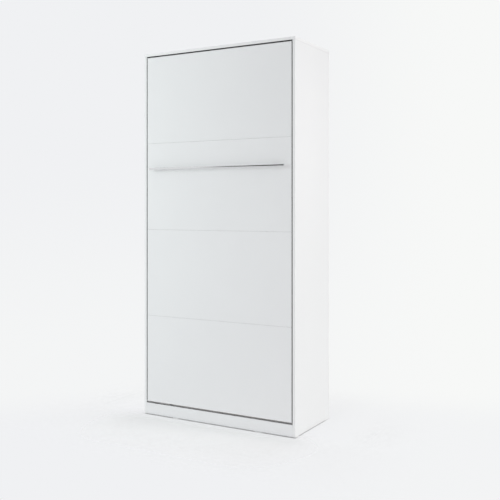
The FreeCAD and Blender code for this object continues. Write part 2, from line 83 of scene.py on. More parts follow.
# %% [markdown]
# ## Meshes from arrays
# A round bar, a slat and a screw head look different but are made alike: a surface is worked out as a
# grid of points, row after row, and four-sided faces join the neighbours. Numpy works out whole arrays
# at once, so no loop runs over single points. Rows that shrink to one point close the ends, and points
# that fall together are welded afterwards.

# %% Faces of a grid, and an object from arrays
crease_angle = math.radians(32)
weld_distance = 1e-6


def grid_faces(rows, columns):
    """Faces of a grid whose last column joins its first: each face takes the points
    (row, column), (row, column + 1), (row + 1, column + 1) and (row + 1, column)."""
    row = np.arange(rows - 1)[:, None] * columns
    column = np.arange(columns)[None, :]
    ahead = (column + 1) % columns
    faces = [row + column, row + ahead, row + columns + ahead, row + columns + column]
    return np.stack(np.broadcast_arrays(*faces), axis=-1).reshape(-1, 4)


print("three rows of four points give", len(grid_faces(3, 4)), "faces")


def piece(name, points, faces, body, finish, stands_for=(), values=None):
    """One object of the bed: welds its points, turns its faces outwards, smooths what is round and
    lets it ride on its body. 'values' are numbers per point that a material can read by name."""
    mesh = bpy.data.meshes.new(name)
    mesh.from_pydata(points.tolist(), [], faces.tolist())
    for label, numbers in (values or {}).items():
        mesh.attributes.new(label, "FLOAT", "POINT").data.foreach_set("value", numbers)
    shape = bmesh.new()
    shape.from_mesh(mesh)
    bmesh.ops.remove_doubles(shape, verts=shape.verts, dist=weld_distance)
    bmesh.ops.recalc_face_normals(shape, faces=shape.faces)
    shape.to_mesh(mesh)
    shape.free()
    mesh.shade_smooth()
    mesh.set_sharp_from_angle(angle=crease_angle)
    mesh.materials.append(finish)
    made = bpy.data.objects.new(name, mesh)
    bpy.context.scene.collection.objects.link(made)
    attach(made, body)
    if stands_for:
        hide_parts(*stands_for)
    return made


# %% Several shapes as one, and the middle of a box
def together(shapes):
    """Joins (points, faces) pairs into one pair: each one's faces count on from the points before."""
    starts = np.cumsum([0] + [len(points) for points, faces in shapes[:-1]])
    points = np.concatenate([points for points, faces in shapes])
    faces = np.concatenate([faces + start for (_, faces), start in zip(shapes, starts)])
    return points, faces


def repeated(shape, moves):
    """One shape at many places: every point plus every move."""
    points, faces = shape
    moves = np.asarray(moves, float)
    many = (moves[:, None, :] + points[None, :, :]).reshape(-1, 3)
    starts = np.arange(len(moves))[:, None, None] * len(points)
    return many, (faces[None, :, :] + starts).reshape(-1, 4)


def mirrored(shape):
    """A shape and its mirror image across the middle plane, where X is zero."""
    points, faces = shape
    return together([(points, faces), (points * [-1, 1, 1], faces)])


def middle_and_half(node):
    """The middle of a node's box and half its size, each as X, Y and Z."""
    low, high = (np.array(corner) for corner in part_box(node))
    return (low + high) / 2, (high - low) / 2


# %% [markdown]
# Turned pieces are the lathe's work: handle, pins, bushes, tubes and feet. A profile is a short list
# of corners, each with its distance from the axis and its place along it. Real turned corners are
# broken, never razor sharp, and it is the small round at an edge that catches the light, so the
# profile is eased before it is spun.

# %% Ease a profile and spin it
most_of_a_side = 0.45
off_axis = (0.1, 0.2, 0.3)
along_x = (1, 0, 0)


def eased(corners, ease, steps=4):
    """A line of corners with each inner one rounded. Between a point 'ease' before the corner and one
    'ease' after it the line is (1 - t)^2 before + 2 t (1 - t) corner + t^2 after, for t from 0 to 1.
    'ease' is one length for all corners, or a length for each inner one. A round never takes more than
    its share of a short side."""
    corners = np.asarray(corners, float)
    middle = corners[1:-1]
    ease = np.broadcast_to(np.reshape(ease, (-1, 1)), (len(middle), 1))
    back = corners[:-2] - middle
    ahead = corners[2:] - middle
    back_length = np.linalg.norm(back, axis=1, keepdims=True)
    ahead_length = np.linalg.norm(ahead, axis=1, keepdims=True)
    before = middle + back * np.minimum(ease / back_length, most_of_a_side)
    after = middle + ahead * np.minimum(ease / ahead_length, most_of_a_side)
    t = np.linspace(0, 1, steps)[None, :, None]
    curve = (1 - t) ** 2 * before[:, None] + 2 * t * (1 - t) * middle[:, None] + t ** 2 * after[:, None]
    return np.concatenate([corners[:1], curve.reshape(-1, 2), corners[-1:]])


def turned(profile, centre, axis, sides):
    """A profile of (radius, along) rows spun about an axis: the point at (row, angle) is
    centre + along * axis + radius * (cos angle * first + sin angle * second)."""
    axis = np.asarray(axis, float)
    axis = axis / np.linalg.norm(axis)
    first = np.cross(axis, np.roll(axis, 1) + off_axis)
    first = first / np.linalg.norm(first)
    second = np.cross(axis, first)
    angle = np.linspace(0, 2 * np.pi, sides, endpoint=False)[None, :, None]
    ring = np.cos(angle) * first + np.sin(angle) * second
    radius = profile[:, 0, None, None]
    along = profile[:, 1, None, None]
    points = np.asarray(centre) + along * axis + radius * ring
    return points.reshape(-1, 3), grid_faces(len(profile), sides)


def lathed(corners, ease, centre, axis, sides, steps=4):
    """Corners eased, then spun."""
    return turned(eased(corners, ease, steps), centre, axis, sides)


def plug(radius, start, end):
    """The corners of a solid round bar, from one end to the other."""
    return [(0, start), (radius, start), (radius, end), (0, end)]


def ring_of(inner, outer, start, end):
    """The corners of a hollow round piece, once round its section."""
    return [(inner, start), (outer, start), (outer, end), (inner, end), (inner, start)]


print("a plug has 4 corners, and eased", len(eased(plug(1, 0, 2), 0.1)), "profile points")


# %% [markdown]
# Slats, slat holders and the arms of the foot bow have a flat section with rounded corners. The
# section is carried along a line of places, and every ring has its own width, height and corner
# radius, so one function gives a bowed slat, a hollow shoe or an arm with round ends.

# %% Carry a rounded rectangle along a line
def carried(places, across, up, half_width, half_height, radius, steps=4):
    """Rings along a line. With c the middle of the nearest corner's round, a ring's point is
    place + (c_a + radius * cos v) * across + (c_b + radius * sin v) * up, for v once round."""
    places = np.asarray(places, float)
    count = len(places)
    a, b, r = (np.broadcast_to(np.asarray(x, float), (count,))[:, None] for x in
               (half_width, half_height, radius))
    corner = np.repeat(np.arange(4), steps)[None, :]
    v = np.pi / 2 * (corner + np.tile(np.linspace(0, 1, steps), 4)[None, :])
    side_a = np.sign(np.cos(np.pi / 4 + corner * np.pi / 2))
    side_b = np.sign(np.sin(np.pi / 4 + corner * np.pi / 2))
    shift_a = side_a * (a - r) + r * np.cos(v)
    shift_b = side_b * (b - r) + r * np.sin(v)
    across = np.broadcast_to(np.asarray(across, float), (count, 3))[:, None, :]
    up = np.broadcast_to(np.asarray(up, float), (count, 3))[:, None, :]
    points = places[:, None, :] + shift_a[:, :, None] * across + shift_b[:, :, None] * up
    return (points.reshape(-1, 3), grid_faces(count, 4 * steps)), shift_b.reshape(-1)


# %% [markdown]
# ## Finishes
# A shader is a small machine of nodes. Writing it by hand is easier with a few helpers: one adds a node
# and fills its inputs, one does a sum, and the others are sums that come back often. Effects that
# several finishes share are node groups, made once: the skin of a melamine face, the band along a
# board's edge, wood grain and fine scratches.

# %% Shader helpers
def feed(tree, node, inputs):
    """Fills inputs of a node. Each takes a plain value or the output of another node."""
    for name, value in inputs.items():
        if isinstance(value, bpy.types.NodeSocket):
            tree.links.new(value, node.inputs[name])
        else:
            node.inputs[name].default_value = value


def add(tree, kind, inputs=None, **settings):
    """Adds a node with its settings, and fills its inputs."""
    node = tree.nodes.new(kind)
    for name, value in settings.items():
        setattr(node, name, value)
    feed(tree, node, inputs or {})
    return node


def calc(tree, operation, first, second=0.0, third=0.0):
    """One sum: a Math node's output."""
    return add(tree, "ShaderNodeMath", {0: first, 1: second, 2: third}, operation=operation).outputs[0]


def chained(tree, operation, first, *others):
    """One operation over several numbers in turn: their product, or the largest of them."""
    for other in others:
        first = calc(tree, operation, first, other)
    return first


def between(tree, share, first, second):
    """A number between two numbers: first + share * (second - first). Two plain numbers are taken off
    each other here, so that no node does it again for every spot."""
    plain = not any(isinstance(end, bpy.types.NodeSocket) for end in (first, second))
    gap = second - first if plain else calc(tree, "SUBTRACT", second, first)
    return calc(tree, "MULTIPLY_ADD", share, gap, first)


def split(tree, vector):
    """The X, Y and Z of a vector, as three outputs."""
    return list(add(tree, "ShaderNodeSeparateXYZ", {"Vector": vector}).outputs)


def ramp(tree, value, low, high, to_low=0.0, to_high=1.0):
    """Goes smoothly from to_low, at or under low, to to_high, at or over high."""
    node = add(tree, "ShaderNodeMapRange", {"Value": value, "From Min": low, "From Max": high,
                                            "To Min": to_low, "To Max": to_high},
               interpolation_type="SMOOTHSTEP")
    return node.outputs["Result"]


def blended(tree, share, first, second):
    """A colour between two colours."""
    return add(tree, "ShaderNodeMix", {0: share, 6: first, 7: second}, data_type="RGBA").outputs[2]


def either(tree, share, first, second):
    """One shader where the share is nothing, the other where it is one."""
    return add(tree, "ShaderNodeMixShader", {0: share, 1: first, 2: second}).outputs[0]


def noise(tree, vector, scale, detail=2.0, rough=0.5):
    """A cloudy value between 0 and 1."""
    node = add(tree, "ShaderNodeTexNoise", {"Vector": vector, "Scale": scale, "Detail": detail,
                                            "Roughness": rough})
    return node.outputs["Fac"]


def stretched(tree, vector, scale):
    """Coordinates scaled by a different number along each axis."""
    return add(tree, "ShaderNodeMapping", {"Vector": vector, "Scale": scale}).outputs["Vector"]


# %% Start a node group
def group(name, inputs, outputs):
    """An empty node group with named inputs and outputs: its tree, its input node, its output node."""
    tree = bpy.data.node_groups.new(name, "ShaderNodeTree")
    for label, kind in inputs.items():
        tree.interface.new_socket(label, in_out="INPUT", socket_type="NodeSocket" + kind)
    for label, kind in outputs.items():
        tree.interface.new_socket(label, in_out="OUTPUT", socket_type="NodeSocket" + kind)
    return tree, tree.nodes.new("NodeGroupInput"), tree.nodes.new("NodeGroupOutput")


def placed(tree, shared, inputs):
    """A node group placed in a material, with its own values."""
    return add(tree, "ShaderNodeGroup", inputs, node_tree=shared)


# %% [markdown]
# Melamine is paper soaked in resin and pressed onto chipboard against a steel plate. The plate leaves
# a fine pearl grain, under a millimetre across, and the resin cures into very shallow waves. Together
# they blur the reflection of a lamp just a little. A painted bump map would cost memory and blur when
# the camera comes close, so two noises of different size do it.

# %% Group: the skin of a melamine face
pearl_per_metre = 1400.0
wave_per_metre = 45.0
wave_weight = 2.2
cloud_per_metre = 2.3
smooth_patch, rough_patch = 0.36, 0.44

melamine_skin, skin_in, skin_out = group(
    "melamine skin", {"Vector": "Vector"}, {"Height": "Float", "Roughness": "Float", "Tone": "Float"})
pearl = noise(melamine_skin, skin_in.outputs["Vector"], pearl_per_metre, 2.0, 0.6)
waves = noise(melamine_skin, skin_in.outputs["Vector"], wave_per_metre, 1.0, 0.4)
clouds = noise(melamine_skin, skin_in.outputs["Vector"], cloud_per_metre, 3.0, 0.5)
feed(melamine_skin, skin_out, {
    "Height": calc(melamine_skin, "MULTIPLY_ADD", waves, wave_weight, pearl),
    "Roughness": ramp(melamine_skin, clouds, 0.3, 0.7, smooth_patch, rough_patch),
    "Tone": ramp(melamine_skin, clouds, 0.25, 0.75)})
print("group made:", melamine_skin.name)

# %% [markdown]
# The sawn edges of the boards are closed with a plastic band one millimetre thick, trimmed flush. From
# close by it is a slightly glossier strip with a hair-thin joint beside it. The group finds it from the
# board's own corners: how far is a point from the nearest edge, the board's flat direction left out?

# %% Group: the band along a board's edges
band_width = 0.0011
joint_width = 0.00012

edge_band, band_in, band_out = group(
    "edge band", {"Vector": "Vector", "Low": "Vector", "High": "Vector", "Flat": "Vector"},
    {"Band": "Float", "Joint": "Float"})


def vector_calc(tree, operation, first, second):
    """One sum of vectors: a Vector Math node's output."""
    return add(tree, "ShaderNodeVectorMath", {0: first, 1: second}, operation=operation).outputs[0]


from_low = vector_calc(edge_band, "SUBTRACT", band_in.outputs["Vector"], band_in.outputs["Low"])
from_high = vector_calc(edge_band, "SUBTRACT", band_in.outputs["High"], band_in.outputs["Vector"])
nearest = vector_calc(edge_band, "MINIMUM", from_low, from_high)
kept = vector_calc(edge_band, "ADD", nearest, band_in.outputs["Flat"])
least = chained(edge_band, "MINIMUM", *split(edge_band, kept))
off_joint = calc(edge_band, "ABSOLUTE", calc(edge_band, "SUBTRACT", least, band_width))
feed(edge_band, band_out, {
    "Band": ramp(edge_band, least, band_width - joint_width, band_width, 1.0, 0.0),
    "Joint": ramp(edge_band, off_joint, 0.0, joint_width, 1.0, 0.0)})
print("group made:", edge_band.name)

# %% [markdown]
# Wood is a bundle of straws cut lengthwise. The group bends coordinates that are long along the grain,
# draws the year rings as a wave across them, and adds pores: short dark dashes that lie along the
# grain. The same group serves planed spruce, with wide rings, and birch, with faint ones.

# %% Group: wood grain
bend_scale = (1.2, 14.0, 14.0)
fibre_scale = (12.0, 900.0, 900.0)
pore_scale = (60.0, 1500.0, 1500.0)
ring_sharpness = 2.2
streak_share, dash_share = 0.45, 0.35
smooth_wood, rough_wood = 0.42, 0.6

wood_grain, grain_in, grain_out = group(
    "wood grain",
    {"Vector": "Vector", "Rings": "Float", "Light": "Color", "Dark": "Color", "Contrast": "Float"},
    {"Color": "Color", "Height": "Float", "Roughness": "Float"})
grain_vector = grain_in.outputs["Vector"]
bend = noise(wood_grain, stretched(wood_grain, grain_vector, bend_scale), 1.0, 3.0, 0.55)
fibres = noise(wood_grain, stretched(wood_grain, grain_vector, fibre_scale), 1.0, 2.0, 0.6)
pores = noise(wood_grain, stretched(wood_grain, grain_vector, pore_scale), 1.0, 1.0, 0.5)
turns = calc(wood_grain, "MULTIPLY", bend, grain_in.outputs["Rings"])
rings = calc(wood_grain, "POWER", calc(wood_grain, "FRACT", turns), ring_sharpness)
streaks = ramp(wood_grain, fibres, 0.35, 0.7, 0.0, streak_share)
share = calc(wood_grain, "MULTIPLY", calc(wood_grain, "ADD", rings, streaks), grain_in.outputs["Contrast"])
dashes = ramp(wood_grain, pores, 0.66, 0.74, 0.0, dash_share)
share = calc(wood_grain, "MINIMUM", calc(wood_grain, "ADD", share, dashes), 1.0)
feed(wood_grain, grain_out, {
    "Color": blended(wood_grain, share, grain_in.outputs["Light"], grain_in.outputs["Dark"]),
    "Height": calc(wood_grain, "SUBTRACT", 1.0, share),
    "Roughness": ramp(wood_grain, share, 0.0, 1.0, smooth_wood, rough_wood)})
print("group made:", wood_grain.name)

# %% [markdown]
# Metal keeps a memory of how it was made and handled. Fine scratches run along a part that was drawn
# or brushed, and soft cloudy patches differ in polish. Both change only the roughness and a bump far
# thinner than a hair.

# %% Group: fine scratches
patch_scale = 0.013
line_share, patch_share = 0.6, 0.4

fine_scratches, scratch_in, scratch_out = group(
    "fine scratches", {"Vector": "Vector", "Smooth": "Float", "Rough": "Float"},
    {"Roughness": "Float", "Height": "Float"})
lines = noise(fine_scratches, scratch_in.outputs["Vector"], 1.0, 2.0, 0.7)
patches = noise(fine_scratches, scratch_in.outputs["Vector"], patch_scale, 2.0, 0.5)
worn = calc(fine_scratches, "ADD", ramp(fine_scratches, lines, 0.4, 0.75, 0.0, line_share),
            ramp(fine_scratches, patches, 0.35, 0.7, 0.0, patch_share))
spread = add(fine_scratches, "ShaderNodeMapRange",
             {"Value": worn, "To Min": scratch_in.outputs["Smooth"], "To Max": scratch_in.outputs["Rough"]})
feed(fine_scratches, scratch_out, {"Roughness": spread.outputs["Result"], "Height": lines})
print("group made:", fine_scratches.name)


# %% Start a material
def material(name, metallic=0.0):
    """A material with one Principled shader: the material, its tree, the shader, object coordinates."""
    made = bpy.data.materials.new(name)
    made.use_nodes = True
    tree = made.node_tree
    shader = tree.nodes["Principled BSDF"]
    shader.inputs["Metallic"].default_value = metallic
    coordinates = add(tree, "ShaderNodeTexCoord").outputs["Object"]
    return made, tree, shader, coordinates


def bumped(tree, shader, height, distance):
    """Feeds a height to the shader's normal, with its real depth in metres."""
    bump = add(tree, "ShaderNodeBump", {"Height": height, "Distance": distance, "Strength": 1.0})
    feed(tree, shader, {"Normal": bump.outputs["Normal"]})


# %% [markdown]
# ## Board white
# Every board gets a material of its own, because the edge band needs its corners. A pale grey-white of
# about 0.86 is right for melamine: paint a board pure white and nothing is left for the light to do.
# Narrow gaps between white boards look nearly black, because light that enters rarely comes out. The finish
# paints that shade into the colour: where a spot is shut in within 18 mm its colour is painted dark, and
# sooner so along the top board and at the plinth, whose gaps are wider.

# %% Materials for melamine boards
melamine_white = (0.862, 0.868, 0.876, 1.0)
melamine_shade = (0.850, 0.856, 0.865, 1.0)
band_white = (0.87, 0.875, 0.88, 1.0)
joint_grey = (0.55, 0.55, 0.56, 1.0)
# painted shade: the near-black colour that narrow gaps are painted with
painted_gap_dark = (0.015, 0.015, 0.016, 1.0)
gap_reach = 0.018
gap_shade = (0.3, 0.62)
deep_shade = (0.45, 0.83)
deep_fade = 0.004
never = 10.0
joint_strength = 0.6
band_gloss = 0.08
pearl_depth = 0.00003
flat_direction_off = 1000.0


def painted_gap_openness(tree, coordinates, deep_from):
    """How open a spot is, from 0 in a deep narrow gap to 1 in the open, judged within a short reach; the
    melamine paints shade into the board's colour where it is small. Above the height deep_from a spot counts
    as shut in sooner, so the painted shade is deeper there."""
    openness = add(tree, "ShaderNodeAmbientOcclusion", {"Distance": gap_reach}, samples=8)
    deep = ramp(tree, split(tree, coordinates)[2], deep_from - deep_fade, deep_from)
    dark, light = (between(tree, deep, *shades) for shades in zip(gap_shade, deep_shade))
    return ramp(tree, openness.outputs["AO"], dark, light)


def melamine(node, deep_from=never):
    """White melamine for one board, with bands along the edges of its broad faces, and painted shade that
    darkens its colour in narrow gaps.
    """
    low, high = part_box(node)
    thin = min(range(3), key=lambda axis: high[axis] - low[axis])
    flat = [flat_direction_off if axis == thin else 0.0 for axis in range(3)]
    made, tree, shader, coordinates = material("white melamine " + node)
    skin = placed(tree, melamine_skin, {"Vector": coordinates})
    band = placed(tree, edge_band, {"Vector": coordinates, "Low": low, "High": high, "Flat": flat})
    face = blended(tree, skin.outputs["Tone"], melamine_shade, melamine_white)
    colour = blended(tree, band.outputs["Band"], face, band_white)
    joint = calc(tree, "MULTIPLY", band.outputs["Joint"], joint_strength)
    colour = blended(tree, joint, colour, joint_grey)
    # painted shade: the colour is painted near black where the spot is shut in, for the dark of a narrow gap
    colour = blended(tree, painted_gap_openness(tree, coordinates, deep_from), painted_gap_dark, colour)
    rough = calc(tree, "MULTIPLY_ADD", band.outputs["Band"], -band_gloss, skin.outputs["Roughness"])
    feed(tree, shader, {"Base Color": colour, "Roughness": rough})
    bumped(tree, shader, skin.outputs["Height"], pearl_depth)
    return made


# %% [markdown]
# ## Metals
# The handle is chrome plate: a mirror, so it is made of what it reflects. The plates are zinc plated,
# which leaves a bluish, slightly cloudy grey. The foot bow is powder coated, and powder never melts quite
# flat: it sets like the skin of an orange.

# %% Chrome, zinc plate and coated steel
rough_spread = 0.06
cloud_scale = 12.0


def metal(name, colour, smooth, rough, lines_along, depth):
    """A bare metal with fine scratches that run along the axis whose number is lowest."""
    made, tree, shader, coordinates = material(name, metallic=1.0)
    scratches = placed(tree, fine_scratches, {"Vector": stretched(tree, coordinates, lines_along),
                                              "Smooth": smooth, "Rough": rough})
    feed(tree, shader, {"Base Color": colour, "Roughness": scratches.outputs["Roughness"]})
    bumped(tree, shader, scratches.outputs["Height"], depth)
    return made


def coated(name, colour, colour_far, rough, grain_per_metre, depth):
    """Powder coat or moulded plastic: an orange-peel bump, and two close tones in soft clouds."""
    made, tree, shader, coordinates = material(name)
    peel = noise(tree, coordinates, grain_per_metre)
    clouds = noise(tree, coordinates, cloud_scale)
    feed(tree, shader, {
        "Base Color": blended(tree, clouds, colour, colour_far),
        "Roughness": ramp(tree, peel, 0.3, 0.7, rough - rough_spread, rough + rough_spread)})
    bumped(tree, shader, peel, depth)
    return made


handle_chrome = metal("handle chrome", (0.68, 0.69, 0.70, 1.0), 0.03, 0.08, (30.0, 2500.0, 2500.0),
                      0.000002)
rod_chrome = metal("rod chrome", (0.78, 0.79, 0.80, 1.0), 0.05, 0.12, (2500.0, 2500.0, 40.0), 0.000002)
zinc_plate = metal("zinc plate", (0.62, 0.64, 0.67, 1.0), 0.26, 0.46, (300.0, 300.0, 30.0), 0.000006)
screw_zinc = metal("screw zinc", (0.66, 0.67, 0.69, 1.0), 0.22, 0.40, (400.0, 400.0, 400.0), 0.000004)
bow_coat = coated("bow powder coat", (0.60, 0.61, 0.62, 1.0), (0.57, 0.58, 0.595, 1.0), 0.42, 900.0, 0.00003)
strut_black = coated("strut black paint", (0.018, 0.018, 0.019, 1.0), (0.026, 0.026, 0.027, 1.0),
                     0.32, 1500.0, 0.000012)
joint_black = coated("joint black plastic", (0.025, 0.025, 0.026, 1.0), (0.034, 0.034, 0.035, 1.0),
                     0.48, 2200.0, 0.00002)
holder_black = coated("holder black plastic", (0.045, 0.045, 0.048, 1.0), (0.06, 0.06, 0.063, 1.0),
                      0.52, 2600.0, 0.00003)
fitting_white = coated("fitting white plastic", (0.84, 0.84, 0.83, 1.0), (0.81, 0.81, 0.80, 1.0),
                       0.38, 1800.0, 0.00001)
pad_rubber = coated("pad rubber", (0.022, 0.022, 0.022, 1.0), (0.035, 0.034, 0.033, 1.0),
                    0.72, 1200.0, 0.00005)
print("finishes made so far:", [made.name for made in bpy.data.materials])

# %% [markdown]
# ## Woods
# Slats are birch veneers glued and pressed into a bow. Their faces show pale, faint grain, and their
# edges show the layers, light and dark in turn, because every second veneer shows its glue. The
# bearers and ledges under them are planed spruce, warmer and with clear rings. Each wood has its
# grain along the length of its piece.

# %% Materials for wood
spruce_light = (0.78, 0.62, 0.41, 1.0)
spruce_dark = (0.60, 0.40, 0.21, 1.0)
birch_light = (0.80, 0.66, 0.47, 1.0)
birch_dark = (0.66, 0.49, 0.31, 1.0)
glue_brown = (0.36, 0.22, 0.12, 1.0)
veneer_count = 6.0
glue_strength = 0.75
pore_depth = 0.00008


def grained(name, turn, rings, light, dark, contrast):
    """A wood: its coordinates are turned until X lies along the length of the piece."""
    made, tree, shader, coordinates = material(name)
    lengthwise = add(tree, "ShaderNodeMapping", {"Vector": coordinates, "Rotation": turn})
    grain = placed(tree, wood_grain, {"Vector": lengthwise.outputs["Vector"], "Rings": rings,
                                      "Light": light, "Dark": dark, "Contrast": contrast})
    feed(tree, shader, {"Base Color": grain.outputs["Color"], "Roughness": grain.outputs["Roughness"]})
    bumped(tree, shader, grain.outputs["Height"], pore_depth)
    return made, tree, shader, grain


grain_along_x = (0.0, 0.0, 0.0)
grain_along_z = (0.0, math.radians(90), 0.0)
spruce = (9.0, spruce_light, spruce_dark, 0.55)

spruce_across = grained("spruce across", grain_along_x, *spruce)[0]
spruce_upright = grained("spruce upright", grain_along_z, *spruce)[0]
birch, tree, shader, grain = grained("pressed birch", grain_along_x, 4.0, birch_light, birch_dark, 0.35)
layer = add(tree, "ShaderNodeAttribute", attribute_name="layer").outputs["Fac"]
edge = add(tree, "ShaderNodeAttribute", attribute_name="edge").outputs["Fac"]
stripes = calc(tree, "PINGPONG", calc(tree, "MULTIPLY", layer, veneer_count), 0.5)
stripes = chained(tree, "MULTIPLY", ramp(tree, stripes, 0.3, 0.48, 0.0, glue_strength),
                  ramp(tree, edge, 0.5, 0.9))
feed(tree, shader, {"Base Color": blended(tree, stripes, grain.outputs["Color"], glue_brown)})
print("woods made:", spruce_across.name, spruce_upright.name, birch.name)

# %% [markdown]
# ## The handle
# The one bright thing on the front is a long round bar on two short posts. A lathe makes both: the bar
# is a straight profile with broken rims, the post widens into a seat at the door and narrows to a waist
# before it meets the bar.

# %% Handle bar and posts
bar_middle, (bar_half, _, bar_radius) = middle_and_half("handle_bar")
bar_ease = 0.0009

bar_shape = lathed(plug(bar_radius, -bar_half, bar_half), bar_ease, bar_middle, along_x, 64, 6)
piece("round_handle_bar", *bar_shape, "bed", handle_chrome, ["handle_bar"])

post_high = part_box("handle_posts")[1]
post_radius = middle_and_half("handle_posts")[1][2]
post_x = post_high.x - post_radius
door_y = post_high.y
post_length = door_y - bar_middle[1]
post_ease = 0.0025
waist = 0.74 * post_radius
corners = [(0, 0), (post_radius, 0), (post_radius, 0.2 * post_length), (waist, 0.42 * post_length),
           (waist, 0.7 * post_length), (post_radius, post_length), (0, post_length)]
post_shape = lathed(corners, post_ease, (post_x, door_y, bar_middle[2]), (0, -1, 0), 40, 6)
piece("handle_waist_posts", *mirrored(post_shape), "bed", handle_chrome, ["handle_posts"])
print("handle", round(2 * bar_half, 3), "m long, posts at", round(post_x, 3))

# %% [markdown]
# ## Slats
# A slat is a flat section, its edges well rounded, carried along a shallow bow: the depth at x is the
# depth at the ends plus the crown times one minus the square of x over the half length. At both ends
# the rings draw in a little and then close. Two numbers go with each point, how deep it lies in the
# layers and whether it is on an edge, and the birch finish reads them.

# %% Fourteen bowed slats
slat_nodes = sorted(node for node in frame["nodes"] if node.startswith("slat_") and node[5:].isdigit())
slat_thickness = 0.008
slat_edge_radius = 0.0032
slat_end_ease = 0.001
slat_stations = 31

for node in slat_nodes:
    (_, middle_y, middle_z), (half_length, half_depth, half_width) = middle_and_half(node)
    crown = 2 * half_depth - slat_thickness
    x = np.linspace(-half_length + slat_end_ease, half_length - slat_end_ease, slat_stations)
    x = np.concatenate([[-half_length, -half_length], x, [half_length, half_length]])
    y = middle_y - half_depth + slat_thickness / 2 + crown * (1 - (x / half_length) ** 2)
    places = np.stack([x, y, np.full_like(x, middle_z)], axis=1)
    drawn_in = np.zeros_like(x)
    drawn_in[[1, -2]] = slat_end_ease
    closed = np.ones_like(x)
    closed[[0, -1]] = 0
    shape, depth = carried(places, (0, 0, 1), (0, 1, 0), closed * (half_width - drawn_in),
                           closed * (slat_thickness / 2 - drawn_in), closed * (slat_edge_radius - drawn_in))
    to_edge = half_width - abs(shape[0][:, 2] - middle_z)
    on_edge = np.clip(1 - to_edge / slat_edge_radius, 0, 1)
    piece("pressed_" + node, *shape, "bed", birch, [node],
          {"layer": depth / slat_thickness + 0.5, "edge": on_edge})
print(len(slat_nodes), "slats, crown", round(crown, 4))

# %% [markdown]
# ## Slat holders
# Each slat end sits in a plastic shoe. The shoe is one surface that never stops: it starts closed at
# the outer end, runs along the outside over two gripping ribs, turns over a thicker lip at the mouth
# and goes back inside to the bottom of the pocket. Width and height are given ring by ring.

# %% Twenty-eight shoes
heights = [middle_and_half(node)[0][2] for node in slat_nodes]
holder_low, holder_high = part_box("slat_holders")
holder_half_height = heights[0] - holder_low.z
holder_y = middle_and_half("slat_holders")[0][1]
holder_half_depth = holder_high.y - holder_y

# each row: distance from the outer end, how far the ring is drawn in, corner radius
outside = [(0, 1, 0), (0, 0.0026, 0.002), (0.0009, 0.001, 0.0034), (0.003, 0.0004, 0.004),
           (0.012, 0.0004, 0.004), (0.0128, 0.0009, 0.0036), (0.0142, 0.0009, 0.0036),
           (0.015, 0.0004, 0.004), (0.019, 0.0004, 0.004), (0.0198, 0.0009, 0.0036),
           (0.0212, 0.0009, 0.0036), (0.022, 0.0004, 0.004), (0.034, 0.0004, 0.004),
           (0.0352, 0, 0.0044), (0.0388, 0, 0.0044), (0.04, 0.001, 0.0036)]
inside = [(0.04, 0.0021, 0.0026), (0.0388, 0.003, 0.0016), (0.0128, 0.003, 0.0016), (0.0128, 1, 0)]
rings = np.array(outside + inside)
open_ring = rings[:, 1] < 1
places = np.stack([holder_high.x - rings[:, 0], np.full(len(rings), holder_y), np.zeros(len(rings))], axis=1)
shape, _ = carried(places, (0, 0, 1), (0, 1, 0), open_ring * (holder_half_height - rings[:, 1]),
                   open_ring * (holder_half_depth - rings[:, 1]), rings[:, 2], 5)
shoes = repeated(mirrored(shape), [(0, 0, z) for z in heights])
piece("slat_shoes", *shoes, "bed", holder_black, ["slat_holders"])
print(2 * len(heights), "shoes")

# %% [markdown]
# ## Gas struts
# Each strut is a black tube of oil and gas with a polished rod that slides out of it. The tube's upper
# end is pinched to a neck that carries a moulded joint over the stud on the cabinet, and the lower end
# rolls in over the seal. The rod ends in a moulded ball socket on the bed's plate. Both are turned
# about the strut's own line, which leans back while the bed is closed.

# %% Struts, tube and rod
tube_radius = 0.009
tube_length = 0.300
rod_radius = 0.004
rod_start = 0.240
joint_radius = 0.010
joint_width_x = 0.010
stud_hole = 0.0052
pinch = 0.0056
tube_wall_thickness = 0.0015

joints = {joint["name"]: joint for joint in frame["joints"]}


